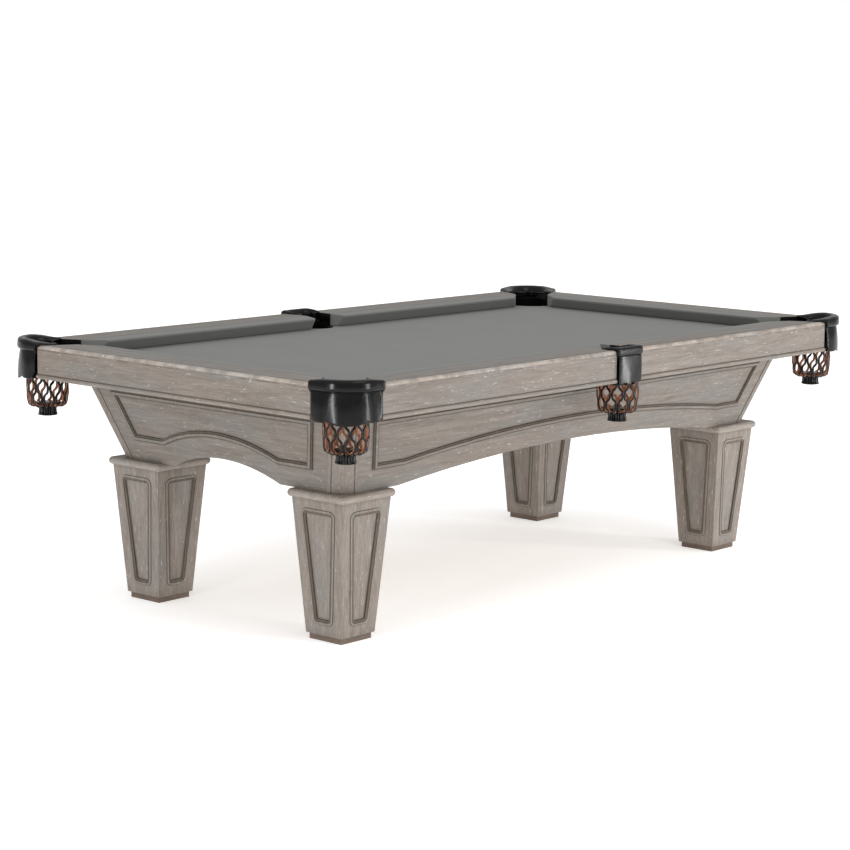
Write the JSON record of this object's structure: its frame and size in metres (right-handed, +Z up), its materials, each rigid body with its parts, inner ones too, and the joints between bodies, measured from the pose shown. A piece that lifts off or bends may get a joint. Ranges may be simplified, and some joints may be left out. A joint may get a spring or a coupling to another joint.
{
  "type": "pool table",
  "caption": "Pool table with a flared panelled cabinet, tapered square legs, weathered wood rails, cloth cushions and leather drop pockets with woven nets.",
  "frame": {"origin": "on the floor under the middle of the table", "axes": "+X along the table, +Y across it to the back long side, +Z up"},
  "size_m": [2.589, 1.498, 0.821],
  "materials": {
    "weathered_wood": "weathered grey-brown stain, satin, hand scraped",
    "foot_wood": "dark brown stain, satin",
    "frame_wood": "plain sawn softwood",
    "slate": "ground flat, matte",
    "bed_cloth": "short napped woven wool, matte",
    "pocket_leather": "polished black, glossy",
    "net_leather": "black straps with tan cut edges, satin",
    "steel": "zinc plated",
    "pad_rubber": "matte black",
    "sight_inlay": "dark matte inlay"
  },
  "bodies": {
    "table": {"leg_body_front_left": "weathered_wood", "leg_body_front_right": "weathered_wood", "leg_body_back_left": "weathered_wood", "leg_body_back_right": "weathered_wood", "leg_caps": "weathered_wood", "leg_panel_mouldings": "weathered_wood", "apron_front": "weathered_wood", "apron_back": "weathered_wood", "apron_left": "weathered_wood", "apron_right": "weathered_wood", "corner_posts": "weathered_wood", "apron_mouldings": "weathered_wood", "rail_front_left": "weathered_wood", "rail_front_right": "weathered_wood", "rail_back_left": "weathered_wood", "rail_back_right": "weathered_wood", "rail_left": "weathered_wood", "rail_right": "weathered_wood", "foot_block_front_left": "foot_wood", "foot_block_front_right": "foot_wood", "foot_block_back_left": "foot_wood", "foot_block_back_right": "foot_wood", "corner_blocks": "frame_wood", "cross_beams": "frame_wood", "centre_beam": "frame_wood", "slate_liner": "frame_wood", "slate_left": "slate", "slate_middle": "slate", "slate_right": "slate", "bed_cloth": "bed_cloth", "cushion_front_left": "bed_cloth", "cushion_front_right": "bed_cloth", "cushion_back_left": "bed_cloth", "cushion_back_right": "bed_cloth", "cushion_left": "bed_cloth", "cushion_right": "bed_cloth", "corner_irons": "pocket_leather", "side_irons": "pocket_leather", "corner_shields": "pocket_leather", "side_shields": "pocket_leather", "net_front_left": "net_leather", "net_front_right": "net_leather", "net_back_left": "net_leather", "net_back_right": "net_leather", "net_front_side": "net_leather", "net_back_side": "net_leather", "leveler_nuts": "steel", "leg_bolts": "steel", "slate_screws": "steel", "rail_bolts": "steel", "rail_sights": "sight_inlay"},
    "pad_front_left": {"leveler_pad_front_left": "pad_rubber"},
    "stud_front_left": {"leveler_stud_front_left": "steel"},
    "pad_front_right": {"leveler_pad_front_right": "pad_rubber"},
    "stud_front_right": {"leveler_stud_front_right": "steel"},
    "pad_back_left": {"leveler_pad_back_left": "pad_rubber"},
    "stud_back_left": {"leveler_stud_back_left": "steel"},
    "pad_back_right": {"leveler_pad_back_right": "pad_rubber"},
    "stud_back_right": {"leveler_stud_back_right": "steel"}
  },
  "joints": [
    {"name": "pad_drop_front_left", "type": "slide", "parent": "table", "child": "pad_front_left", "axis": [0, 0, -1], "range_m": [0, 0.0195]},
    {"name": "stud_turn_front_left", "type": "hinge", "parent": "pad_front_left", "child": "stud_front_left", "pos_m": [-0.95, -0.392, 0.02], "axis": [0, 0, -1], "range_deg": [0, 3600]},
    {"name": "pad_drop_front_right", "type": "slide", "parent": "table", "child": "pad_front_right", "axis": [0, 0, -1], "range_m": [0, 0.0195]},
    {"name": "stud_turn_front_right", "type": "hinge", "parent": "pad_front_right", "child": "stud_front_right", "pos_m": [0.95, -0.392, 0.02], "axis": [0, 0, -1], "range_deg": [0, 3600]},
    {"name": "pad_drop_back_left", "type": "slide", "parent": "table", "child": "pad_back_left", "axis": [0, 0, -1], "range_m": [0, 0.0195]},
    {"name": "stud_turn_back_left", "type": "hinge", "parent": "pad_back_left", "child": "stud_back_left", "pos_m": [-0.95, 0.392, 0.02], "axis": [0, 0, -1], "range_deg": [0, 3600]},
    {"name": "pad_drop_back_right", "type": "slide", "parent": "table", "child": "pad_back_right", "axis": [0, 0, -1], "range_m": [0, 0.0195]},
    {"name": "stud_turn_back_right", "type": "hinge", "parent": "pad_back_right", "child": "stud_back_right", "pos_m": [0.95, 0.392, 0.02], "axis": [0, 0, -1], "range_deg": [0, 3600]}
  ],
  "couplings": [
    {"joint": "pad_drop_front_left", "follows": "stud_turn_front_left", "m_per_rad": 0.00027852},
    {"joint": "pad_drop_front_right", "follows": "stud_turn_front_right", "m_per_rad": 0.00027852},
    {"joint": "pad_drop_back_left", "follows": "stud_turn_back_left", "m_per_rad": 0.00027852},
    {"joint": "pad_drop_back_right", "follows": "stud_turn_back_right", "m_per_rad": 0.00027852}
  ]
}
